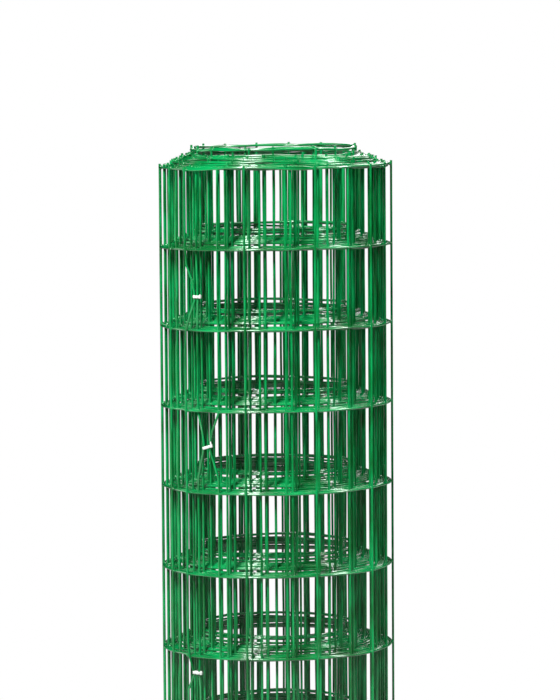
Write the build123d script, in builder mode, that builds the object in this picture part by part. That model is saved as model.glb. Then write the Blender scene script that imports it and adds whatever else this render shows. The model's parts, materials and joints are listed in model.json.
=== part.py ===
"""Roll of plastic-coated welded wire fencing, standing on its end.

The sheet is wound into one body with an open bore. The winding has slipped endways, as such a roll does
when it is handled: the outer turns stand on the floor, and the turns further in sit higher in three
stages, by the same amount at both ends. Every turn shows as a ridge on both end faces. The free edge of
the sheet is a bundle of cross wires on the outside, held down by three cable ties that pass behind it.

Millimetres, +Z up along the axis of the roll, origin on the floor at that axis, front towards -Y.
"""

import os
from math import cos, radians, sin

from build123d import *

# Sheet of welded mesh
wire_diameter = 2.2
cell_height = 76.2
cells_high = 13
wire_overhang = 4.7  # cross wire beyond the first and the last line wire
sheet_width = cells_high * cell_height + 2 * wire_overhang

# Winding
bore_radius = 72.3
turn_pitch = 2.41  # from one turn to the next, wires nested
ridge_height = 1.2  # ridge of a turn above the valleys beside it

# Slip of the turns, counted from the outside inwards
outer_turns = 6
outer_slip = 1.0  # from each turn to the next one in
middle_turns = 8
middle_slip = 0.49
middle_jump = 2.6  # from the outer stage up to the middle one
inner_turns = 3
inner_slip = 3.8
inner_jump = 2.3  # from the middle stage up to the inner one

# Bundle of cross wires at the free edge
edge_angle = -131.0  # round the axis from +X, so left of the front
edge_wires = 4
edge_wire_gap = 0.3
edge_wire_sink = 0.5  # depth of the wires in the turn under them

# Cable ties round the bundle
tie_drops = {"tie_upper": 121.0, "tie_middle": 260.0, "tie_lower": 470.0}  # below the outer turn's top
tail_lengths = {"tie_upper": 3.0, "tie_middle": 8.0, "tie_lower": 3.0}
band_width = 3.6
band_thickness = 1.2
band_slack = 0.2  # between the band and the wires
pocket_clearance = 0.5  # between the band and the turn behind it
head_width = 4.4
head_depth = 3.6
head_height = 4.8
tail_thickness = 1.0

turn_count = outer_turns + middle_turns + inner_turns
outer_radius = bore_radius + turn_count * turn_pitch
edge_wire_pitch = wire_diameter + edge_wire_gap
bundle_span = (edge_wires - 1) * edge_wire_pitch
bundle_radius = outer_radius + wire_diameter / 2 - edge_wire_sink


def turn_slips():
    """Height of each turn above the outermost one, from the outside inwards."""
    slips = [turn * outer_slip for turn in range(outer_turns)]
    middle_start = slips[-1] + middle_jump
    slips += [middle_start + turn * middle_slip for turn in range(middle_turns)]
    inner_start = slips[-1] + inner_jump
    slips += [inner_start + turn * inner_slip for turn in range(inner_turns)]
    return slips


def end_outline(slips, level, side):
    """Outline of one end face from the outside inwards: side is 1 on the top and -1 underneath."""
    points = [(outer_radius, level + slips[0]), (outer_radius - wire_diameter, level + slips[0])]
    for turn in range(1, turn_count):
        boundary = outer_radius - turn * turn_pitch
        lower = min(side * slips[turn - 1], side * slips[turn])
        points.append((boundary, level + side * (lower - ridge_height)))
        if turn < turn_count - 1:
            points.append((boundary - turn_pitch / 2, level + slips[turn]))
    points.append((bore_radius + wire_diameter, level + slips[-1]))
    points.append((bore_radius, level + slips[-1]))
    return points


def edge_plane(height):
    """Plane across the bundle at a height: X points away from the axis, Y runs round the roll."""
    outward = (cos(radians(edge_angle)), sin(radians(edge_angle)), 0)
    origin = (bundle_radius * outward[0], bundle_radius * outward[1], height)
    return Plane(origin=origin, x_dir=outward, z_dir=(0, 0, 1))


def band_outline(growth):
    """Racetrack round the bundle, grown past the wires on every side."""
    SlotCenterToCenter(bundle_span, wire_diameter + 2 * growth, rotation=90)


slips = turn_slips()
tie_heights = {name: sheet_width - drop for name, drop in tie_drops.items()}
band_inside = band_slack
band_outside = band_slack + band_thickness
pocket_growth = band_outside + pocket_clearance

with BuildPart() as fence_roll:
    # Turned body, with a ridge for every turn on both ends
    with BuildSketch(Plane.XZ):
        with BuildLine():
            under = end_outline(slips, 0, -1)
            over = end_outline(slips, sheet_width, 1)
            Polyline(*under, *reversed(over), close=True)
        make_face()
    revolve(axis=Axis.Z)

    # Pockets in the outer turns, where the ties pass behind the bundle
    for height in tie_heights.values():
        with BuildSketch(edge_plane(height - band_width / 2 - pocket_clearance)):
            band_outline(pocket_growth)
        extrude(amount=band_width + 2 * pocket_clearance, mode=Mode.SUBTRACT)

    # Cross wires of the free edge, side by side over the whole width of the sheet
    with BuildSketch(edge_plane(0)):
        with GridLocations(1, edge_wire_pitch, 1, edge_wires):
            Circle(wire_diameter / 2)
    extrude(amount=sheet_width)
fence_roll.part.label = "fence_roll"


def make_tie(name):
    """Cable tie: a band round the bundle, with its head beside the wires and a cut tail."""
    height = tie_heights[name]
    head_start = bundle_span / 2 + wire_diameter / 2 + band_slack + band_thickness / 2
    head_middle = head_start + head_width / 2
    head_foot = pocket_clearance - (bundle_radius - outer_radius)
    with BuildPart() as tie:
        with BuildSketch(edge_plane(height - band_width / 2)):
            band_outline(band_outside)
            with BuildSketch(mode=Mode.SUBTRACT):
                band_outline(band_inside)
        extrude(amount=band_width)
        with BuildSketch(edge_plane(height - head_height / 2)):
            with Locations((head_foot + head_depth / 2, head_middle)):
                Rectangle(head_depth, head_width)
        extrude(amount=head_height)
        with BuildSketch(edge_plane(height)):
            with Locations((head_foot + head_depth / 2, head_middle)):
                Rectangle(tail_thickness, head_width / 2)
        extrude(amount=head_height / 2 + tail_lengths[name])
    tie.part.label = name
    return tie


os.makedirs("parts", exist_ok=True)
export_step(fence_roll.part, "parts/fence_roll.step")
for name in tie_heights:
    export_step(make_tie(name).part, f"parts/{name}.step")
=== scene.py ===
"""Visual model of a roll of plastic-coated welded wire fencing, standing on its end.

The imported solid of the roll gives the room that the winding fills. In its place this script winds the
real sheet: line wires that run round the roll in a spiral, cross wires welded to their outer side, the
beads of coating at the welds, and the three cable ties that hold down the free edge.

Metres, +Z up along the axis of the roll, front towards -Y.
"""

import json
from math import cos, floor, pi, radians, sin, sqrt, tau

import bmesh
import bpy
import numpy as np
from bpy.props import FloatProperty, FloatVectorProperty, IntProperty, PointerProperty
from mathutils import Matrix, Vector


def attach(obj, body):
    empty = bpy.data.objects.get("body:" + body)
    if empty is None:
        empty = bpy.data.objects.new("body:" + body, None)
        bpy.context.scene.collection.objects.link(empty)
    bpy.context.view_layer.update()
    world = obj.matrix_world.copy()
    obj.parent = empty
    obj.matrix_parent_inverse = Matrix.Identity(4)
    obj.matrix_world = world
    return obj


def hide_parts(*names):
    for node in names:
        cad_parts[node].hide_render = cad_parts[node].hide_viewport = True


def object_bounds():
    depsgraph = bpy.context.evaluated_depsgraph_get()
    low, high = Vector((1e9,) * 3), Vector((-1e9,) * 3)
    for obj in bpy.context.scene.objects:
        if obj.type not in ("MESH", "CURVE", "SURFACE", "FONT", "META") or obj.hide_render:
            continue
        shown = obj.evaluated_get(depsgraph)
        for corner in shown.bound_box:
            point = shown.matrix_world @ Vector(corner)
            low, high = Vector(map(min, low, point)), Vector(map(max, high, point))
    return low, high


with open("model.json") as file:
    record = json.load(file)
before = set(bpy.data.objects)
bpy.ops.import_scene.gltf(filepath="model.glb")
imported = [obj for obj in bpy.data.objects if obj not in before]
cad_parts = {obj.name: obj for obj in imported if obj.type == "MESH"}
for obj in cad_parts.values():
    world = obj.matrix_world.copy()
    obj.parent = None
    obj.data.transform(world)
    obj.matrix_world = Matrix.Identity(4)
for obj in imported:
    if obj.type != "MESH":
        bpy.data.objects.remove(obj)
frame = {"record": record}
cad_low, cad_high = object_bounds()

bl_info = {
    "name": "Wire Fencing Roll",
    "version": (1, 0, 0),
    "blender": (4, 5, 0),
    "location": "3D View > Sidebar > Fencing",
    "description": "Winds a sheet of welded wire mesh into a roll with its cable ties",
    "category": "Object",
}

BODY = "root"
ROLL_NODE = "fence_roll"
TIE_NODES = ("tie_upper", "tie_middle", "tie_lower")
MOUNTS = {mount["name"]: mount for mount in frame["record"]["mounts"]}
BORE_RADIUS = MOUNTS["bore"]["dims"]["r_mm"] / 1000
SHEET_WIDTH = MOUNTS["bore"]["dims"]["length_mm"] / 1000
OUTER_RADIUS = cad_high.x
TOTAL_SLIP = cad_high.z - SHEET_WIDTH

# Slip of the turns: turns from the outer edge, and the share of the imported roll's slip reached there
SLIP_PROFILE = (
    (0.0, 0.0), (4.0, 0.07), (6.5, 0.22), (8.6, 0.38),
    (13.2, 0.58), (14.4, 0.68), (15.5, 0.87), (17.3, 0.93),
)
# Slack of the turns, as waves along the sheet: size, wavelength and phase
SLACK_WAVES = ((0.0121, 2.932, 6.15), (0.00575, 1.573, 4.75), (0.0008, 0.79, 2.09))

# How fast each kind of stray changes, in noise cells a metre
BULGE_RATE = 9.0
SLIP_RATE = 3.1
LINE_RATE = 15.0
CROSS_RATE = 7.0
# How far apart wires are read in the noise: a row, and a metre of sheet
ROW_STEP = 13.7
CROSS_STEP = 71.3
CUT_STEP = 171.3
# Rows of the noise that no other stray reads
BULGE_SEED = 4.0
SLIP_SEED = 27.0
CUT_SEED = 9.0

INWARD_SHARE = 0.3  # of the bulge, by which the turns lie further in
INNER_STRAY = 0.6  # by which line wires stray further at the bore than outside
EDGE_DEPTH = 0.05  # below the top of the sheet, where line wires stray more
BOW_TOP = 9.8  # row at which the line wires bow up most
BOW_ROWS = 8.0  # rows from one bow to the next

LINE_STEPS = 1400
CROSS_STEPS = 66
WIRE_SIDES = 8
CORE_SHARE = 0.8  # of a cut end's width that is steel

BAND_STEPS = 12
BAND_SLACK = 0.0001  # between a tie's band and its wires
HEAD_BEVEL = 0.0004
TAIL_BEVEL = 0.0002
TAIL_SINK = 0.0005  # of the tail in the head

# Softboxes: degrees from the front towards the right, distance, height, and width by height
LAMPS = {
    "key": (-31, 2.1, 2.6, (0.85, 0.7)),
    "side": (81, 2.1, 2.6, (0.5, 0.5)),
    "edge": (-110, 2.5, 0.9, (0.8, 1.6)),
    "back": (170, 2.4, 2.0, (1.2, 1.2)),
    "top": (0, 0.0, 3.0, (1.6, 1.6)),
}
LAMP_AIM = 0.75  # height on the roll's axis that the softboxes face
FLOOR_RADIUS = 30.0
FLOOR_FADE = (0.5, 1.8)  # from the roll, where the floor starts and ends turning white

# Node inputs that say how the sheet is wound, by the node group that reads them
PLACE_INPUTS = (
    "Start Radius", "Turn Pitch", "Sheet Length", "Edge Angle", "Slip",
    "Slip Stray", "Tilt", "Tilt Angle", "Bulge", "Slack",
)
ROW_INPUTS = ("Sheet Length", "Row Bow", "Line Wave", "Bottom Overhang", "Cell Height")
STRAY_INPUTS = ("Cross Wave",)
WINDING_INPUTS = {*PLACE_INPUTS, *ROW_INPUTS, *STRAY_INPUTS}
MESH_SOCKET = {"Geometry": ("NodeSocketGeometry", None)}


class SheetSizes(bpy.types.PropertyGroup):
    """The flat sheet of welded mesh."""

    wire_diameter: FloatProperty(
        name="Wire Diameter", description="Wire over its coating", default=0.0022, unit="LENGTH"
    )
    cell_height: FloatProperty(
        name="Cell Height", description="Between line wires", default=0.0762, unit="LENGTH"
    )
    cell_width: FloatProperty(
        name="Cell Width", description="Between cross wires", default=0.0635, unit="LENGTH"
    )
    cells_long: IntProperty(
        name="Cells Long", description="Cells along the sheet", default=157, min=1
    )
    end_overhang: FloatProperty(
        name="End Overhang",
        description="Line wire beyond the last cross wire",
        default=0.004,
        unit="LENGTH",
    )
    top_overhang: FloatProperty(
        name="Top Overhang",
        description="Cross wire beyond the top line wire",
        default=0.0012,
        unit="LENGTH",
    )
    overhang_spread: FloatProperty(
        name="Overhang Spread", description="How unevenly the top is cut", default=0.0035, unit="LENGTH"
    )
    weld_depth: FloatProperty(
        name="Weld Depth",
        description="How far two wires sink into each other",
        default=0.0004,
        unit="LENGTH",
    )
    bead_radius: FloatProperty(
        name="Bead Radius", description="Bead of coating at a weld", default=0.0017, unit="LENGTH"
    )


class WindingSizes(bpy.types.PropertyGroup):
    """How the sheet is wound."""

    edge_angle: FloatProperty(
        name="Edge Angle",
        description="Free edge, round from +X",
        default=radians(-136.947),
        subtype="ANGLE",
    )
    outer_room: FloatProperty(
        name="Outer Room", description="Outside the first turn", default=0.000068, unit="LENGTH"
    )
    inner_room: FloatProperty(
        name="Inner Room",
        description="Between the last turn and the bore",
        default=0.001007,
        unit="LENGTH",
    )
    slack: FloatProperty(name="Slack", description="Share of the turns' slack", default=1.0)
    slip_stray: FloatProperty(
        name="Slip Stray",
        description="How unevenly the middle turns slipped",
        default=0.004,
        unit="LENGTH",
    )
    tilt: FloatProperty(
        name="Tilt", description="Rise of the outer turns across the roll", default=0.0033, unit="LENGTH"
    )
    tilt_angle: FloatProperty(
        name="Tilt Angle",
        description="Where the outer turns are highest",
        default=radians(-48.7),
        subtype="ANGLE",
    )
    bulge: FloatProperty(
        name="Bulge", description="How far a turn strays in and out", default=0.001, unit="LENGTH"
    )
    row_bow: FloatProperty(
        name="Row Bow",
        description="How unevenly the line wires are spaced",
        default=0.0019,
        unit="LENGTH",
    )
    line_wave: FloatProperty(
        name="Line Wave",
        description="How far a line wire strays up and down",
        default=0.0029,
        unit="LENGTH",
    )
    cross_wave: FloatProperty(
        name="Cross Wave",
        description="How far a cross wire strays sideways",
        default=0.002,
        unit="LENGTH",
    )
    gather_turns: FloatProperty(
        name="Gather Turns", description="Turns that a tie reaches through", default=3.6
    )


class TieSizes(bpy.types.PropertyGroup):
    """The cable ties."""

    band_width: FloatProperty(
        name="Band Width", description="Width of the band", default=0.0026, unit="LENGTH"
    )
    band_thickness: FloatProperty(
        name="Band Thickness", description="Thickness of the band", default=0.001, unit="LENGTH"
    )
    angle: FloatProperty(
        name="Angle",
        description="Upper tie's place, round from +X",
        default=radians(-130.6),
        subtype="ANGLE",
    )
    upper_height: FloatProperty(
        name="Upper Height", description="Upper tie above the floor", default=0.8773, unit="LENGTH"
    )
    middle_height: FloatProperty(
        name="Middle Height", description="Middle tie above the floor", default=0.7373, unit="LENGTH"
    )
    lower_height: FloatProperty(
        name="Lower Height", description="Lower tie above the floor", default=0.5243, unit="LENGTH"
    )
    tight_spread: FloatProperty(
        name="Tight Spread",
        description="Between the wires in the upper tie",
        default=0.003,
        unit="LENGTH",
    )
    loose_spread: FloatProperty(
        name="Loose Spread",
        description="Between the wires in the other ties",
        default=0.0048,
        unit="LENGTH",
    )
    gather_reach: FloatProperty(
        name="Gather Reach",
        description="How far above and below a tie its wires bend",
        default=0.035,
        unit="LENGTH",
    )
    head_width: FloatProperty(
        name="Head Width", description="Head along the band", default=0.0022, unit="LENGTH"
    )
    head_height: FloatProperty(
        name="Head Height", description="Head across the band", default=0.003, unit="LENGTH"
    )
    head_depth: FloatProperty(
        name="Head Depth", description="Head away from the roll", default=0.0022, unit="LENGTH"
    )
    tail_length: FloatProperty(
        name="Tail Length", description="Cut tail beyond the head", default=0.0012, unit="LENGTH"
    )
    long_tail: FloatProperty(
        name="Long Tail", description="Tail of the middle tie", default=0.0032, unit="LENGTH"
    )
    middle_shift: FloatProperty(
        name="Middle Shift",
        description="Middle tie's shift round the roll",
        default=radians(5.6),
        subtype="ANGLE",
    )
    lower_shift: FloatProperty(
        name="Lower Shift",
        description="Lower tie's shift round the roll",
        default=radians(-1.7),
        subtype="ANGLE",
    )
    middle_tilt: FloatProperty(
        name="Middle Tilt", description="Middle tie's tilt", default=radians(17), subtype="ANGLE"
    )


class Colours(bpy.types.PropertyGroup):
    """Colours of the finishes."""

    coating: FloatVectorProperty(
        name="Coating",
        description="Green plastic on the wire",
        default=(0.001, 0.262, 0.066),
        subtype="COLOR",
    )
    # Painted shade: darker streaks at random along the wires, dark enough to stand in for the shade among
    # the turns
    coating_painted_shade: FloatVectorProperty(
        name="Coating, Deep",
        description="Darker streaks in the green",
        default=(0.0005, 0.11, 0.019),
        subtype="COLOR",
    )
    nylon: FloatVectorProperty(
        name="Nylon", description="Cable ties", default=(0.62, 0.66, 0.62), subtype="COLOR"
    )
    steel: FloatVectorProperty(
        name="Steel", description="Cut ends of the wires", default=(0.45, 0.45, 0.43), subtype="COLOR"
    )
    floor: FloatVectorProperty(
        name="Floor", description="Pale floor", default=(0.5, 0.5, 0.5), subtype="COLOR"
    )


class StageSizes(bpy.types.PropertyGroup):
    """Camera and lamps."""

    focal_length: FloatProperty(
        name="Focal Length", description="Lens in millimetres", default=192.47
    )
    distance: FloatProperty(
        name="Distance", description="From the lens to the axis", default=3.550, unit="LENGTH"
    )
    eye_height: FloatProperty(
        name="Eye Height", description="Lens above the floor", default=1.1208, unit="LENGTH"
    )
    pitch: FloatProperty(
        name="Pitch", description="Downward tilt", default=radians(4.844), subtype="ANGLE"
    )
    yaw: FloatProperty(
        name="Yaw", description="Turn to the right", default=radians(0.073), subtype="ANGLE"
    )
    roll: FloatProperty(
        name="Roll", description="Clockwise tilt", default=radians(0.392), subtype="ANGLE"
    )
    key_power: FloatProperty(
        name="Key Power", description="Softbox at the front left", default=162.0
    )
    side_power: FloatProperty(
        name="Side Power", description="Softbox at the right", default=72.0
    )
    edge_power: FloatProperty(
        name="Edge Power", description="Softbox at the far left", default=9.0
    )
    back_power: FloatProperty(
        name="Back Power", description="Softbox behind the roll", default=22.0
    )
    top_power: FloatProperty(
        name="Top Power", description="Softbox overhead", default=0.5
    )
    fill: FloatProperty(name="Fill", description="Light from all round", default=0.001)


def sizes():
    """The property groups of this scene, in the order of GROUPS."""
    return [getattr(bpy.context.scene, name) for name in GROUPS]


class Winding:
    """The spiral of the sheet, worked out from the sheet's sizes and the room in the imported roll."""

    def __init__(self):
        self.sheet, self.winding, self.ties = sizes()[:3]
        sheet = self.sheet
        self.wire_radius = sheet.wire_diameter / 2
        self.cross_offset = sheet.wire_diameter - sheet.weld_depth
        self.start_radius = OUTER_RADIUS - self.wire_radius - self.cross_offset - self.winding.outer_room
        self.end_radius = BORE_RADIUS + self.wire_radius + self.winding.inner_room
        self.length = sheet.cells_long * sheet.cell_width + 2 * sheet.end_overhang
        self.turns = self.length / (pi * (self.start_radius + self.end_radius))
        self.pitch = (self.start_radius - self.end_radius) / self.turns
        self.rows = floor(SHEET_WIDTH / sheet.cell_height) + 1
        self.bottom_overhang = (SHEET_WIDTH - (self.rows - 1) * sheet.cell_height) / 2
        self.cross_length = SHEET_WIDTH - self.bottom_overhang + sheet.top_overhang

    def cross_places(self):
        """Length along the sheet of every cross wire."""
        sheet = self.sheet
        return [sheet.end_overhang + number * sheet.cell_width for number in range(sheet.cells_long + 1)]

    def turn_at(self, length):
        """Turns from the free edge to a length along the sheet."""
        return (self.start_radius - sqrt(self.start_radius**2 - self.pitch * length / pi)) / self.pitch

    def angle_at(self, length):
        """Angle round the roll of a length along the sheet."""
        turn = self.turn_at(length)
        radius = self.start_radius - self.pitch * turn
        slack = sum(size * sin(tau * length / wave + start) for size, wave, start in SLACK_WAVES)
        return self.winding.edge_angle + tau * turn + self.winding.slack * slack / radius

    def inputs(self):
        """Values of the node inputs that say how the sheet is wound."""
        winding = self.winding
        return {
            "Start Radius": self.start_radius,
            "Turn Pitch": self.pitch,
            "Sheet Length": self.length,
            "Edge Angle": winding.edge_angle,
            "Slip": TOTAL_SLIP,
            "Slip Stray": winding.slip_stray,
            "Tilt": winding.tilt,
            "Tilt Angle": winding.tilt_angle,
            "Bulge": winding.bulge,
            "Slack": winding.slack,
            "Row Bow": winding.row_bow,
            "Line Wave": winding.line_wave,
            "Bottom Overhang": self.bottom_overhang,
            "Cell Height": self.sheet.cell_height,
            "Cross Wave": winding.cross_wave,
        }


class Tie:
    """One cable tie: where it sits and the two cross wires that it holds."""

    def __init__(self, winding, node, angle, height, tilt, spread, reach):
        self.node = node
        self.angle = angle
        self.height = height
        self.tilt = tilt
        self.spread = spread
        self.reach = reach
        within_reach = []
        for number, length in enumerate(winding.cross_places()):
            turn = winding.turn_at(length)
            apart = (winding.angle_at(length) - angle + pi) % tau - pi
            if turn < winding.winding.gather_turns:
                within_reach.append((abs(apart), apart, number, turn))
        nearest = sorted(within_reach)[:2]
        self.wires = sorted((apart, number, turn) for _, apart, number, turn in nearest)


def make_ties(winding):
    """The three ties, from the top down."""
    ties = winding.ties
    upper, middle, lower = TIE_NODES
    tight, loose = ties.tight_spread, ties.loose_spread
    middle_angle = ties.angle + ties.middle_shift
    lower_angle = ties.angle + ties.lower_shift
    reach = ties.gather_reach
    return (
        Tie(winding, upper, ties.angle, ties.upper_height, 0.0, tight, reach),
        Tie(winding, middle, middle_angle, ties.middle_height, ties.middle_tilt, loose, reach),
        Tie(winding, lower, lower_angle, ties.lower_height, 0.0, loose, reach / 2),
    )


class Nodes:
    """Adds nodes and links to one node tree."""

    def __init__(self, tree):
        self.tree = tree
        self.given = tree.nodes.new("NodeGroupInput")
        self.result = tree.nodes.new("NodeGroupOutput")

    def put(self, socket, value):
        """Links a socket, or sets its value."""
        if isinstance(value, bpy.types.NodeSocket):
            self.tree.links.new(value, socket)
        else:
            socket.default_value = value

    def add(self, kind, values=None, **settings):
        """A node with its settings, and its inputs by name or by number."""
        node = self.tree.nodes.new(kind)
        for name, value in settings.items():
            setattr(node, name, value)
        for name, value in (values or {}).items():
            self.put(node.inputs[name], value)
        return node

    def math(self, operation, *values):
        """The result of a Math node."""
        return self.add("ShaderNodeMath", dict(enumerate(values)), operation=operation).outputs[0]

    def total(self, *values):
        """The sum of several values."""
        result = values[0]
        for value in values[1:]:
            result = self.math("ADD", result, value)
        return result

    def product(self, *values):
        """The product of several values."""
        result = values[0]
        for value in values[1:]:
            result = self.math("MULTIPLY", result, value)
        return result

    def vector(self, x, y, z):
        """A vector of three values."""
        return self.add("ShaderNodeCombineXYZ", {0: x, 1: y, 2: z}).outputs[0]

    def wander(self, x, y, amount):
        """A smooth random value, as much above zero as below it."""
        spot = self.vector(x, y, 0.5)
        noise = self.add("ShaderNodeTexNoise", {"Vector": spot, "Scale": 1.0, "Detail": 1.0})
        return self.math("MULTIPLY", self.math("SUBTRACT", noise.outputs[0], 0.5), amount)

    def wave(self, value, length, start, amount):
        """A sine wave: value over its wavelength, with its phase and size."""
        phase = self.math("ADD", self.math("MULTIPLY", value, tau / length), start)
        return self.math("MULTIPLY", self.math("SINE", phase), amount)

    def group(self, tree, **values):
        """A node group; inputs of the winding come from this tree's own inputs."""
        node = self.add("GeometryNodeGroup", node_tree=tree)
        for socket in node.inputs:
            if socket.name in WINDING_INPUTS:
                self.put(socket, self.given.outputs[socket.name])
        for name, value in values.items():
            self.put(node.inputs[name], value)
        return node.outputs[0]

    def attribute(self, name, kind="FLOAT"):
        """A named attribute of the points."""
        return self.add("GeometryNodeInputNamedAttribute", {"Name": name}, data_type=kind).outputs[0]


def new_tree(name, kind, inputs, outputs):
    """An empty node group with its sockets: {name: (socket type, default)}."""
    tree = bpy.data.node_groups.new(name, kind)
    for direction, sockets in (("INPUT", inputs), ("OUTPUT", outputs)):
        for socket_name, (socket_type, default) in sockets.items():
            socket = tree.interface.new_socket(socket_name, in_out=direction, socket_type=socket_type)
            if default is not None:
                socket.default_value = default
    return tree, Nodes(tree)


def group(name, make):
    """A node group by name, made once."""
    return bpy.data.node_groups.get(name) or make()


def floats(**defaults):
    """Float sockets, with underscores in their names read as spaces."""
    return {name.replace("_", " "): ("NodeSocketFloat", value) for name, value in defaults.items()}


def winding_sockets(*names):
    """The named inputs that say how the sheet is wound."""
    values = Winding().inputs()
    return {name: ("NodeSocketFloat", values[name]) for name in names}


def add_slip_curve(nodes, turn):
    """How far a turn has slipped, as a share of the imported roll's slip."""
    last_turn, last_share = SLIP_PROFILE[-1]
    slip = nodes.add("ShaderNodeFloatCurve", {"Value": nodes.math("DIVIDE", turn, last_turn)})
    points = slip.mapping.curves[0].points
    points[0].location = SLIP_PROFILE[0]
    points[1].location = (1.0, last_share)
    for turns, share in SLIP_PROFILE[1:-1]:
        points.new(turns / last_turn, share)
    slip.mapping.update()
    return slip.outputs[0]


def make_place_group():
    """Node group: the place in the roll of a point of the flat sheet."""
    inputs = floats(Length=0.0, Height=0.0, Outward=0.0, Aside=0.0) | winding_sockets(*PLACE_INPUTS)
    outputs = {"Position": ("NodeSocketVector", None)}
    tree, nodes = new_tree("Place In Roll", "GeometryNodeTree", inputs, outputs)
    given = nodes.given.outputs
    length = given["Length"]
    square = nodes.product(given["Start Radius"], given["Start Radius"])
    unwound = nodes.math("DIVIDE", nodes.product(length, given["Turn Pitch"]), pi)
    wound = nodes.math("SQRT", nodes.math("SUBTRACT", square, unwound))
    turn = nodes.math("DIVIDE", nodes.math("SUBTRACT", given["Start Radius"], wound), given["Turn Pitch"])

    stray = nodes.wander(nodes.product(length, BULGE_RATE), BULGE_SEED, given["Bulge"])
    inward = nodes.math("SUBTRACT", stray, nodes.product(given["Bulge"], INWARD_SHARE))
    radius = nodes.total(wound, given["Outward"], inward)
    waves = [nodes.wave(length, wave, start, size) for size, wave, start in SLACK_WAVES]
    aside = nodes.total(given["Aside"], nodes.product(nodes.total(*waves), given["Slack"]))
    angle = nodes.total(nodes.product(turn, tau), given["Edge Angle"], nodes.math("DIVIDE", aside, wound))

    share = nodes.math("DIVIDE", length, given["Sheet Length"])
    rest = nodes.math("SUBTRACT", 1.0, share)
    uneven = nodes.wander(nodes.product(length, SLIP_RATE), SLIP_SEED, given["Slip Stray"])
    slipped = nodes.product(add_slip_curve(nodes, turn), given["Slip"])
    slipped = nodes.math("MULTIPLY_ADD", uneven, nodes.product(share, rest, 4.0), slipped)
    toward = nodes.math("COSINE", nodes.math("SUBTRACT", angle, given["Tilt Angle"]))
    lean = nodes.product(nodes.math("MULTIPLY_ADD", toward, 0.5, 0.5), given["Tilt"], rest)
    across = nodes.product(radius, nodes.math("COSINE", angle))
    along = nodes.product(radius, nodes.math("SINE", angle))
    place = nodes.vector(across, along, nodes.total(given["Height"], slipped, lean))
    nodes.put(nodes.result.inputs["Position"], place)
    return tree


def make_row_group():
    """Node group: the height of a line wire on the sheet, with its gentle waves."""
    inputs = floats(Row=0.0, Length=0.0) | winding_sockets(*ROW_INPUTS)
    outputs = {"Height": ("NodeSocketFloat", None)}
    tree, nodes = new_tree("Line Wire Height", "GeometryNodeTree", inputs, outputs)
    given = nodes.given.outputs
    level = nodes.total(nodes.product(given["Row"], given["Cell Height"]), given["Bottom Overhang"])
    bow = nodes.wave(nodes.math("SUBTRACT", given["Row"], BOW_TOP), BOW_ROWS, pi / 2, given["Row Bow"])
    share = nodes.math("DIVIDE", given["Length"], given["Sheet Length"])
    at_edge = nodes.math("GREATER_THAN", level, SHEET_WIDTH - EDGE_DEPTH)
    size = nodes.product(nodes.total(nodes.product(share, INNER_STRAY), at_edge, 1.0), given["Line Wave"])
    along = nodes.product(given["Length"], LINE_RATE)
    stray = nodes.wander(along, nodes.product(given["Row"], ROW_STEP), size)
    nodes.put(nodes.result.inputs["Height"], nodes.total(level, bow, stray))
    return tree


def make_stray_group():
    """Node group: how far a cross wire strays along the sheet at a height."""
    inputs = floats(Length=0.0, Height=0.0) | winding_sockets(*STRAY_INPUTS)
    outputs = {"Aside": ("NodeSocketFloat", None)}
    tree, nodes = new_tree("Cross Wire Stray", "GeometryNodeTree", inputs, outputs)
    given = nodes.given.outputs
    wire = nodes.product(given["Length"], CROSS_STEP)
    stray = nodes.wander(wire, nodes.product(given["Height"], CROSS_RATE), given["Cross Wave"])
    nodes.put(nodes.result.inputs["Aside"], stray)
    return tree


def wire_sockets():
    """Inputs of a tree that makes wires."""
    return floats(Wire_Radius=0.0011, Core_Share=CORE_SHARE) | {
        "Coating": ("NodeSocketMaterial", None),
        "Steel": ("NodeSocketMaterial", None),
    }


def sweep_wires(nodes, curves):
    """Gives curves the wire's round section, the coating's material, and bare steel in each cut end."""
    given = nodes.given.outputs
    section = nodes.add(
        "GeometryNodeCurvePrimitiveCircle",
        {"Resolution": WIRE_SIDES, "Radius": given["Wire Radius"]},
        mode="RADIUS",
    )
    tube = nodes.add(
        "GeometryNodeCurveToMesh",
        {"Curve": curves, "Profile Curve": section.outputs[0], "Fill Caps": True},
    )
    corners = nodes.add("GeometryNodeInputMeshFaceNeighbors").outputs["Vertex Count"]
    cap = nodes.math("GREATER_THAN", corners, 4.5)
    side = nodes.math("SUBTRACT", 1.0, cap)
    smooth = nodes.add(
        "GeometryNodeSetShadeSmooth",
        {"Geometry": tube.outputs[0], "Selection": side, "Shade Smooth": True},
    )
    coated = nodes.add(
        "GeometryNodeSetMaterial", {"Geometry": smooth.outputs[0], "Material": given["Coating"]}
    )
    inner = nodes.add(
        "GeometryNodeExtrudeMesh", {"Mesh": coated.outputs[0], "Selection": cap, "Offset Scale": 0.0}
    )
    inset, end = inner.outputs["Mesh"], inner.outputs["Top"]
    core = nodes.add(
        "GeometryNodeScaleElements", {"Geometry": inset, "Selection": end, "Scale": given["Core Share"]}
    )
    bare = nodes.add(
        "GeometryNodeSetMaterial",
        {"Geometry": core.outputs[0], "Selection": end, "Material": given["Steel"]},
    )
    nodes.put(nodes.result.inputs["Geometry"], bare.outputs[0])


def straight_runs(nodes, points):
    """A straight run at each point, in steps that the winding then bends."""
    run = nodes.add("GeometryNodeCurvePrimitiveLine")
    stepped = nodes.add(
        "GeometryNodeResampleCurve", {"Curve": run.outputs[0], "Count": nodes.given.outputs["Steps"]}
    )
    runs = nodes.add("GeometryNodeInstanceOnPoints", {"Points": points, "Instance": stepped.outputs[0]})
    return nodes.add("GeometryNodeRealizeInstances", {"Geometry": runs.outputs[0]}).outputs[0]


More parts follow.
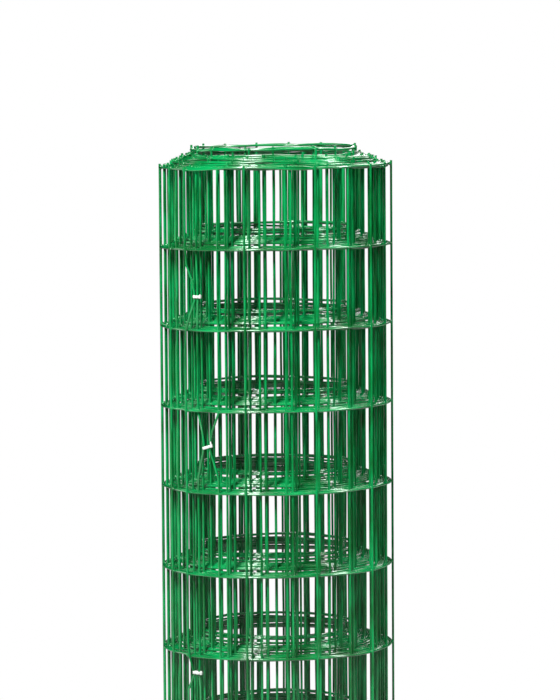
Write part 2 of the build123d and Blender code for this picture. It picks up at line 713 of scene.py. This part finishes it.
def make_line_tree():
    """Geometry Nodes: line wires, each wound from the free edge to the bore."""
    inputs = winding_sockets(*PLACE_INPUTS, *ROW_INPUTS) | wire_sockets()
    inputs |= {"First Row": ("NodeSocketInt", 0)}
    inputs |= {name: ("NodeSocketInt", 1) for name in ("Rows", "Steps")}
    tree, nodes = new_tree("Line Wires", "GeometryNodeTree", inputs, MESH_SOCKET)
    given = nodes.given.outputs
    rows = nodes.add("GeometryNodeMeshLine", {"Count": given["Rows"]})
    number = nodes.total(nodes.add("GeometryNodeInputIndex").outputs[0], given["First Row"])
    numbered = nodes.add(
        "GeometryNodeStoreNamedAttribute", {"Geometry": rows.outputs[0], "Name": "row", "Value": number}
    )
    runs = straight_runs(nodes, numbered.outputs[0])
    part = nodes.add("GeometryNodeSplineParameter").outputs["Factor"]
    length = nodes.product(part, given["Sheet Length"])
    row = nodes.attribute("row")
    level = nodes.group(group("Line Wire Height", make_row_group), Row=row, Length=length)
    place = nodes.group(group("Place In Roll", make_place_group), Length=length, Height=level)
    wound = nodes.add("GeometryNodeSetPosition", {"Geometry": runs, "Position": place})
    sweep_wires(nodes, wound.outputs[0])
    return tree


def make_cross_tree():
    """Geometry Nodes: a cross wire at each point, which holds its place on the sheet and its pulls."""
    inputs = MESH_SOCKET | winding_sockets(*PLACE_INPUTS, *STRAY_INPUTS) | wire_sockets()
    inputs |= floats(Cross_Length=1.0, Cut_Spread=0.0, Cross_Offset=0.0018)
    inputs |= {"Tie Heights": ("NodeSocketVector", None), "Tie Reaches": ("NodeSocketVector", None)}
    inputs |= {"Steps": ("NodeSocketInt", 1)}
    tree, nodes = new_tree("Cross Wires", "GeometryNodeTree", inputs, MESH_SOCKET)
    given = nodes.given.outputs
    runs = straight_runs(nodes, given["Geometry"])
    length = nodes.attribute("length")
    part = nodes.add("GeometryNodeSplineParameter").outputs["Factor"]
    cut = nodes.wander(nodes.product(length, CUT_STEP), CUT_SEED, given["Cut Spread"])
    height = nodes.product(part, nodes.total(given["Cross Length"], cut))
    pull_aside = nodes.add("ShaderNodeSeparateXYZ", {0: nodes.attribute("pull_aside", "FLOAT_VECTOR")})
    pull_out = nodes.add("ShaderNodeSeparateXYZ", {0: nodes.attribute("pull_out", "FLOAT_VECTOR")})
    ties = nodes.add("ShaderNodeSeparateXYZ", {0: given["Tie Heights"]})
    reaches = nodes.add("ShaderNodeSeparateXYZ", {0: given["Tie Reaches"]})
    aside = nodes.group(group("Cross Wire Stray", make_stray_group), Length=length, Height=height)
    outward = given["Cross Offset"]
    for number in range(len(TIE_NODES)):
        away = nodes.math("ABSOLUTE", nodes.math("SUBTRACT", height, ties.outputs[number]))
        near = nodes.add(
            "ShaderNodeMapRange",
            {"Value": away, "From Min": reaches.outputs[number], "From Max": 0.0},
            interpolation_type="SMOOTHSTEP",
        ).outputs[0]
        aside = nodes.math("MULTIPLY_ADD", near, pull_aside.outputs[number], aside)
        outward = nodes.math("MULTIPLY_ADD", near, pull_out.outputs[number], outward)
    place_group = group("Place In Roll", make_place_group)
    place = nodes.group(place_group, Length=length, Height=height, Outward=outward, Aside=aside)
    wound = nodes.add("GeometryNodeSetPosition", {"Geometry": runs, "Position": place})
    sweep_wires(nodes, wound.outputs[0])
    return tree


def make_bead_tree():
    """Geometry Nodes: the bead of coating at each weld."""
    inputs = winding_sockets(*PLACE_INPUTS, *ROW_INPUTS, *STRAY_INPUTS)
    inputs |= floats(Cell_Width=0.0635, Cross_Offset=0.0018, Bead_Radius=0.0017, End_Overhang=0.004)
    inputs |= {name: ("NodeSocketInt", 1) for name in ("Rows", "Wires")}
    inputs |= {"Coating": ("NodeSocketMaterial", None)}
    tree, nodes = new_tree("Weld Beads", "GeometryNodeTree", inputs, MESH_SOCKET)
    given = nodes.given.outputs
    points = nodes.add("GeometryNodeMeshLine", {"Count": nodes.product(given["Rows"], given["Wires"])})
    index = nodes.add("GeometryNodeInputIndex").outputs[0]
    row = nodes.math("FLOOR", nodes.math("DIVIDE", nodes.total(index, 0.5), given["Wires"]))
    wire = nodes.math("SUBTRACT", index, nodes.product(row, given["Wires"]))
    length = nodes.total(nodes.product(wire, given["Cell Width"]), given["End Overhang"])
    level = nodes.group(group("Line Wire Height", make_row_group), Row=row, Length=length)
    aside = nodes.group(group("Cross Wire Stray", make_stray_group), Length=length, Height=level)
    middle = nodes.product(given["Cross Offset"], 0.5)
    place_group = group("Place In Roll", make_place_group)
    place = nodes.group(place_group, Length=length, Height=level, Outward=middle, Aside=aside)
    spots = nodes.add("GeometryNodeSetPosition", {"Geometry": points.outputs[0], "Position": place})
    bead = nodes.add(
        "GeometryNodeMeshUVSphere", {"Segments": WIRE_SIDES, "Rings": 5, "Radius": given["Bead Radius"]}
    )
    beads = nodes.add(
        "GeometryNodeInstanceOnPoints", {"Points": spots.outputs[0], "Instance": bead.outputs[0]}
    )
    real = nodes.add("GeometryNodeRealizeInstances", {"Geometry": beads.outputs[0]})
    smooth = nodes.add("GeometryNodeSetShadeSmooth", {"Geometry": real.outputs[0], "Shade Smooth": True})
    coated = nodes.add(
        "GeometryNodeSetMaterial", {"Geometry": smooth.outputs[0], "Material": given["Coating"]}
    )
    nodes.put(nodes.result.inputs["Geometry"], coated.outputs[0])
    return tree


def run_nodes(name, mesh, tree, values):
    """Runs a tree on a new object and keeps the result as its plain mesh."""
    piece = bpy.data.objects.new(name, mesh)
    bpy.context.scene.collection.objects.link(piece)
    modifier = piece.modifiers.new(tree.name, "NODES")
    modifier.node_group = tree
    for item in tree.interface.items_tree:
        if item.in_out == "INPUT" and item.name in values:
            modifier[item.identifier] = values[item.name]
    graph = bpy.context.evaluated_depsgraph_get()
    made = bpy.data.meshes.new_from_object(piece.evaluated_get(graph))
    piece.modifiers.remove(modifier)
    piece.data = made
    made.name = name
    scaffold = ("row", "length", "pull_aside", "pull_out")
    for attribute in [found for found in made.attributes if found.name in scaffold]:
        made.attributes.remove(attribute)
    if not made.polygons:
        raise RuntimeError(f"{tree.name} made no faces")
    return piece


def finish_piece(piece, node):
    """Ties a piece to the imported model."""
    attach(piece, BODY)
    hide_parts(node)


def make_grain_group():
    """Shader group: two sizes of fine unevenness."""
    inputs = floats(Broad_Scale=40.0, Fine_Scale=900.0)
    tree, nodes = new_tree("Fine Grain", "ShaderNodeTree", inputs, floats(Broad=0.0, Fine=0.0))
    spot = nodes.add("ShaderNodeTexCoord").outputs["Object"]
    for size in ("Broad", "Fine"):
        scale = nodes.given.outputs[f"{size} Scale"]
        noise = nodes.add("ShaderNodeTexNoise", {"Vector": spot, "Scale": scale, "Detail": 2.0})
        nodes.put(nodes.result.inputs[size], noise.outputs[0])
    return tree


def grained(name, light, deep, rough, broad_scale, fine_scale, bump, metallic=0.0, coat=0.0):
    """A material whose colour and roughness vary between two values, with a fine bump."""
    material = bpy.data.materials.new(name)
    material.use_nodes = True
    tree = material.node_tree
    shader = tree.nodes["Principled BSDF"]
    grain = tree.nodes.new("ShaderNodeGroup")
    grain.node_tree = group("Fine Grain", make_grain_group)
    grain.inputs["Broad Scale"].default_value = broad_scale
    grain.inputs["Fine Scale"].default_value = fine_scale
    # On the coating, the darker end of this ramp is painted shade in random streaks; on the steel and
    # nylon it is their grain
    ramp = tree.nodes.new("ShaderNodeValToRGB")
    for element, place, colour in zip(ramp.color_ramp.elements, (0.35, 0.65), (deep, light)):
        element.position = place
        element.color = (*colour, 1.0)
    tree.links.new(grain.outputs["Broad"], ramp.inputs[0])
    tree.links.new(ramp.outputs[0], shader.inputs["Base Color"])
    spread = tree.nodes.new("ShaderNodeMapRange")
    spread.inputs["To Min"].default_value, spread.inputs["To Max"].default_value = rough
    tree.links.new(grain.outputs["Fine"], spread.inputs["Value"])
    tree.links.new(spread.outputs[0], shader.inputs["Roughness"])
    raised = tree.nodes.new("ShaderNodeBump")
    raised.inputs["Distance"].default_value = bump
    tree.links.new(grain.outputs["Fine"], raised.inputs["Height"])
    tree.links.new(raised.outputs[0], shader.inputs["Normal"])
    shader.inputs["Metallic"].default_value = metallic
    shader.inputs["Coat Weight"].default_value = coat
    shader.inputs["Coat Roughness"].default_value = 0.1
    return material


def coating_material():
    """Glossy green plastic over the wire, with darker random streaks that are painted shade."""
    colours = sizes()[3]
    return bpy.data.materials.get("green_coating") or grained(
        "green_coating",
        light=colours.coating,
        deep=colours.coating_painted_shade,
        rough=(0.16, 0.3),
        broad_scale=30.0,
        fine_scale=700.0,
        bump=0.00005,
        coat=0.8,
    )


def steel_material():
    """Bright zinc-coated steel at the cut ends."""
    steel = sizes()[3].steel
    return bpy.data.materials.get("cut_steel") or grained(
        "cut_steel",
        light=steel,
        deep=[0.6 * value for value in steel],
        rough=(0.3, 0.5),
        broad_scale=900.0,
        fine_scale=2500.0,
        bump=0.00003,
        metallic=1.0,
    )


def nylon_material():
    """Natural nylon of the cable ties."""
    nylon = sizes()[3].nylon
    return bpy.data.materials.get("tie_nylon") or grained(
        "tie_nylon",
        light=nylon,
        deep=[0.93 * value for value in nylon],
        rough=(0.3, 0.45),
        broad_scale=120.0,
        fine_scale=1500.0,
        bump=0.00002,
    )


def mesh_inputs(winding):
    """Node inputs of every tree that makes a part of the mesh."""
    return winding.inputs() | {
        "Wire Radius": winding.wire_radius,
        "Core Share": CORE_SHARE,
        "Coating": coating_material(),
        "Steel": steel_material(),
        "Cell Width": winding.sheet.cell_width,
        "Cross Offset": winding.cross_offset,
    }


class FENCE_OT_line_wires(bpy.types.Operator):
    """Wind the wires that run along the sheet"""

    bl_idname = "fence.line_wires"
    bl_label = "Line Wires"

    def execute(self, context):
        winding = Winding()
        tree = group("Line Wires", make_line_tree)
        half = winding.rows // 2
        parts = {"line_wires_lower": (0, half), "line_wires_upper": (half, winding.rows - half)}
        for name, (first, count) in parts.items():
            values = mesh_inputs(winding) | {"First Row": first, "Rows": count, "Steps": LINE_STEPS}
            piece = run_nodes(name, bpy.data.meshes.new(name), tree, values)
            finish_piece(piece, ROLL_NODE)
        return {"FINISHED"}


class FENCE_OT_cross_wires(bpy.types.Operator):
    """Stand the wires that run across the sheet, and gather those at the ties"""

    bl_idname = "fence.cross_wires"
    bl_label = "Cross Wires"

    def execute(self, context):
        winding = Winding()
        places = winding.cross_places()
        aside, out = np.zeros((2, len(places), len(TIE_NODES)), np.float32)
        ties = make_ties(winding)
        for index, tie in enumerate(ties):
            for side, (apart, number, turn) in zip((-0.5, 0.5), tie.wires):
                radius = winding.start_radius - winding.pitch * turn
                aside[number, index] = side * tie.spread - apart * radius
                out[number, index] = winding.start_radius - radius
        lengths = np.array(places, np.float32)
        mesh = bpy.data.meshes.new("cross_wires")
        mesh.vertices.add(len(places))
        mesh.attributes.new("length", "FLOAT", "POINT").data.foreach_set("value", lengths)
        for name, pulls in (("pull_aside", aside), ("pull_out", out)):
            data = mesh.attributes.new(name, "FLOAT_VECTOR", "POINT").data
            data.foreach_set("vector", pulls.ravel())
        tree = group("Cross Wires", make_cross_tree)
        values = mesh_inputs(winding) | {
            "Cross Length": winding.cross_length,
            "Cut Spread": winding.sheet.overhang_spread,
            "Tie Heights": [tie.height for tie in ties],
            "Tie Reaches": [tie.reach for tie in ties],
            "Steps": CROSS_STEPS,
        }
        piece = run_nodes("cross_wires", mesh, tree, values)
        finish_piece(piece, ROLL_NODE)
        return {"FINISHED"}


class FENCE_OT_weld_beads(bpy.types.Operator):
    """Put a bead of coating on every weld"""

    bl_idname = "fence.weld_beads"
    bl_label = "Weld Beads"

    def execute(self, context):
        winding = Winding()
        values = mesh_inputs(winding) | {
            "Rows": winding.rows,
            "Wires": winding.sheet.cells_long + 1,
            "Bead Radius": winding.sheet.bead_radius,
            "End Overhang": winding.sheet.end_overhang,
        }
        tree = group("Weld Beads", make_bead_tree)
        piece = run_nodes("weld_beads", bpy.data.meshes.new("weld_beads"), tree, values)
        finish_piece(piece, ROLL_NODE)
        return {"FINISHED"}


def add_band(form, wires_span, wire_radius, width, thickness):
    """A tie's band: a racetrack round the wires with a softened section. X outward, Y along the band."""
    middle = wire_radius + thickness / 2
    bevel = thickness * 0.3
    half_width, half_thick = width / 2, thickness / 2
    section = [
        (half_thick - bevel, half_width), (half_thick, half_width - bevel),
        (half_thick, bevel - half_width), (half_thick - bevel, -half_width),
        (bevel - half_thick, -half_width), (-half_thick, bevel - half_width),
        (-half_thick, half_width - bevel), (bevel - half_thick, half_width),
    ]
    rings = []
    for side in (1, -1):
        for step in range(BAND_STEPS + 1):
            turn = side * pi / 2 - pi / 2 + pi * step / BAND_STEPS
            normal = Vector((cos(turn), sin(turn), 0))
            centre = Vector((0, side * wires_span / 2, 0))
            rings.append([
                form.verts.new(centre + normal * (middle + outward) + Vector((0, 0, up)))
                for outward, up in section
            ])
    for ring, following in zip(rings, rings[1:] + rings[:1]):
        for index in range(len(section)):
            after = (index + 1) % len(section)
            form.faces.new((ring[index], ring[after], following[after], following[index]))


def add_block(form, centre, size, bevel):
    """A block with softened edges."""
    place = Matrix.LocRotScale(centre, None, Vector(size))
    made = bmesh.ops.create_cube(form, size=1.0, matrix=place)
    edges = {edge for vert in made["verts"] for edge in vert.link_edges}
    bmesh.ops.bevel(form, geom=list(edges), offset=bevel, segments=2, profile=0.5, affect="EDGES")


def make_tie_mesh(winding, tie):
    """A closed tie in its place: band, head and cut tail."""
    ties = winding.ties
    form = bmesh.new()
    add_band(form, tie.spread, winding.wire_radius + BAND_SLACK, ties.band_width, ties.band_thickness)
    beside = tie.spread / 2 + winding.wire_radius + ties.band_thickness + ties.head_width / 2
    out = ties.head_depth / 2 - winding.wire_radius
    head_size = (ties.head_depth, ties.head_width, ties.head_height)
    add_block(form, Vector((out, beside, 0)), head_size, HEAD_BEVEL)
    tail = ties.long_tail if tie.tilt else ties.tail_length
    tail_middle = Vector((out, beside, ties.head_height / 2 + tail / 2 - TAIL_SINK))
    tail_size = (ties.band_thickness * 0.8, ties.head_width * 0.7, tail)
    add_block(form, tail_middle, tail_size, TAIL_BEVEL)
    bmesh.ops.recalc_face_normals(form, faces=form.faces)
    radius = winding.start_radius + winding.cross_offset
    place = (
        Matrix.Rotation(tie.angle, 4, "Z")
        @ Matrix.Translation((radius, 0, tie.height))
        @ Matrix.Rotation(tie.tilt, 4, "X")
    )
    form.transform(place)
    mesh = bpy.data.meshes.new(f"{tie.node}_nylon")
    form.to_mesh(mesh)
    form.free()
    return mesh


class FENCE_OT_cable_ties(bpy.types.Operator):
    """Close the three cable ties round the gathered wires"""

    bl_idname = "fence.cable_ties"
    bl_label = "Cable Ties"

    def execute(self, context):
        winding = Winding()
        for tie in make_ties(winding):
            mesh = make_tie_mesh(winding, tie)
            mesh.materials.append(nylon_material())
            mesh.shade_smooth()
            piece = bpy.data.objects.new(mesh.name, mesh)
            context.scene.collection.objects.link(piece)
            finish_piece(piece, tie.node)
        return {"FINISHED"}


def add_lamp(name, azimuth, distance, height, size, power):
    """A softbox that faces the roll: azimuth from the front, towards the right."""
    data = bpy.data.lights.new(name, "AREA")
    data.shape = "RECTANGLE"
    data.size, data.size_y = size
    data.energy = power
    lamp = bpy.data.objects.new(name, data)
    bpy.context.scene.collection.objects.link(lamp)
    place = Vector((distance * sin(azimuth), -distance * cos(azimuth), height))
    lamp.location = place
    lamp.rotation_euler = (Vector((0, 0, LAMP_AIM)) - place).to_track_quat("-Z", "Y").to_euler()


def add_camera(stage):
    """The camera at the photograph's viewing angle."""
    data = bpy.data.cameras.new("camera")
    data.lens = stage.focal_length
    data.sensor_width = 36.0
    camera = bpy.data.objects.new("camera", data)
    bpy.context.scene.collection.objects.link(camera)
    level = cos(stage.pitch)
    look = Vector((sin(stage.yaw) * level, cos(stage.yaw) * level, -sin(stage.pitch)))
    turn = look.to_track_quat("-Z", "Y").to_matrix() @ Matrix.Rotation(-stage.roll, 3, "Z")
    camera.matrix_world = Matrix.Translation((0, -stage.distance, stage.eye_height)) @ turn.to_4x4()
    bpy.context.scene.camera = camera


def add_world(fill):
    """A dim, even world that the camera sees as white."""
    world = bpy.data.worlds.new("studio")
    bpy.context.scene.world = world
    world.use_nodes = True
    tree = world.node_tree
    soft = tree.nodes["Background"]
    soft.inputs["Color"].default_value = (1, 1, 1, 1)
    soft.inputs["Strength"].default_value = fill
    white = tree.nodes.new("ShaderNodeBackground")
    white.inputs["Color"].default_value = (1, 1, 1, 1)
    rays = tree.nodes.new("ShaderNodeLightPath")
    mix = tree.nodes.new("ShaderNodeMixShader")
    tree.links.new(rays.outputs["Is Camera Ray"], mix.inputs[0])
    tree.links.new(soft.outputs[0], mix.inputs[1])
    tree.links.new(white.outputs[0], mix.inputs[2])
    tree.links.new(mix.outputs[0], tree.nodes["World Output"].inputs["Surface"])


def floor_material(colour):
    """A pale matt floor that the camera sees turn to plain white away from the roll."""
    material = bpy.data.materials.new("pale_floor")
    material.use_nodes = True
    tree = material.node_tree
    shader = tree.nodes["Principled BSDF"]
    shader.inputs["Base Color"].default_value = (*colour, 1)
    shader.inputs["Roughness"].default_value = 0.7
    spot = tree.nodes.new("ShaderNodeTexCoord")
    far = tree.nodes.new("ShaderNodeVectorMath")
    far.operation = "LENGTH"
    tree.links.new(spot.outputs["Object"], far.inputs[0])
    fade = tree.nodes.new("ShaderNodeMapRange")
    fade.interpolation_type = "SMOOTHSTEP"
    fade.inputs["From Min"].default_value, fade.inputs["From Max"].default_value = FLOOR_FADE
    tree.links.new(far.outputs["Value"], fade.inputs["Value"])
    rays = tree.nodes.new("ShaderNodeLightPath")
    share = tree.nodes.new("ShaderNodeMath")
    share.operation = "MULTIPLY"
    tree.links.new(rays.outputs["Is Camera Ray"], share.inputs[0])
    tree.links.new(fade.outputs[0], share.inputs[1])
    white = tree.nodes.new("ShaderNodeEmission")
    mix = tree.nodes.new("ShaderNodeMixShader")
    tree.links.new(share.outputs[0], mix.inputs[0])
    tree.links.new(shader.outputs[0], mix.inputs[1])
    tree.links.new(white.outputs[0], mix.inputs[2])
    tree.links.new(mix.outputs[0], tree.nodes["Material Output"].inputs["Surface"])
    return material


def add_floor(colour):
    """The floor that the roll stands on."""
    mesh = bpy.data.meshes.new("floor")
    form = bmesh.new()
    bmesh.ops.create_circle(form, cap_ends=True, segments=96, radius=FLOOR_RADIUS)
    form.to_mesh(mesh)
    form.free()
    mesh.materials.append(floor_material(colour))
    floor_piece = bpy.data.objects.new("floor", mesh)
    bpy.context.scene.collection.objects.link(floor_piece)


class FENCE_OT_stage(bpy.types.Operator):
    """Set up the floor, the lamps and the camera"""

    bl_idname = "fence.stage"
    bl_label = "Stage"

    def execute(self, context):
        colours, stage = sizes()[3:]
        add_world(stage.fill)
        add_floor(colours.floor)
        for name, (azimuth, distance, height, size) in LAMPS.items():
            power = getattr(stage, f"{name}_power")
            add_lamp(name, radians(azimuth), distance, height, size, power)
        add_camera(stage)
        context.scene.view_settings.view_transform = "Standard"
        return {"FINISHED"}


class FENCE_PT_panel(bpy.types.Panel):
    """The roll's pieces and its sizes"""

    bl_label = "Wire Fencing Roll"
    bl_space_type = "VIEW_3D"
    bl_region_type = "UI"
    bl_category = "Fencing"

    def draw(self, context):
        for operator in OPERATORS:
            self.layout.operator(operator.bl_idname)
        for name, kind in GROUPS.items():
            settings = getattr(context.scene, name)
            for item in kind.__annotations__:
                self.layout.prop(settings, item)


GROUPS = {
    "fence_sheet": SheetSizes,
    "fence_winding": WindingSizes,
    "fence_ties": TieSizes,
    "fence_colours": Colours,
    "fence_stage": StageSizes,
}
OPERATORS = (
    FENCE_OT_line_wires,
    FENCE_OT_cross_wires,
    FENCE_OT_weld_beads,
    FENCE_OT_cable_ties,
    FENCE_OT_stage,
)


def register():
    """Registers the classes and adds the property groups to the scene."""
    for kind in (*GROUPS.values(), *OPERATORS, FENCE_PT_panel):
        bpy.utils.register_class(kind)
    for name, kind in GROUPS.items():
        setattr(bpy.types.Scene, name, PointerProperty(type=kind))


def unregister():
    """Removes what register added."""
    for name in GROUPS:
        delattr(bpy.types.Scene, name)
    for kind in (FENCE_PT_panel, *reversed(OPERATORS), *reversed(GROUPS.values())):
        bpy.utils.unregister_class(kind)


def main():
    """Makes every piece."""
    register()
    bpy.ops.fence.line_wires()
    bpy.ops.fence.cross_wires()
    bpy.ops.fence.weld_beads()
    bpy.ops.fence.cable_ties()
    bpy.ops.fence.stage()


if __name__ == "__main__":
    main()
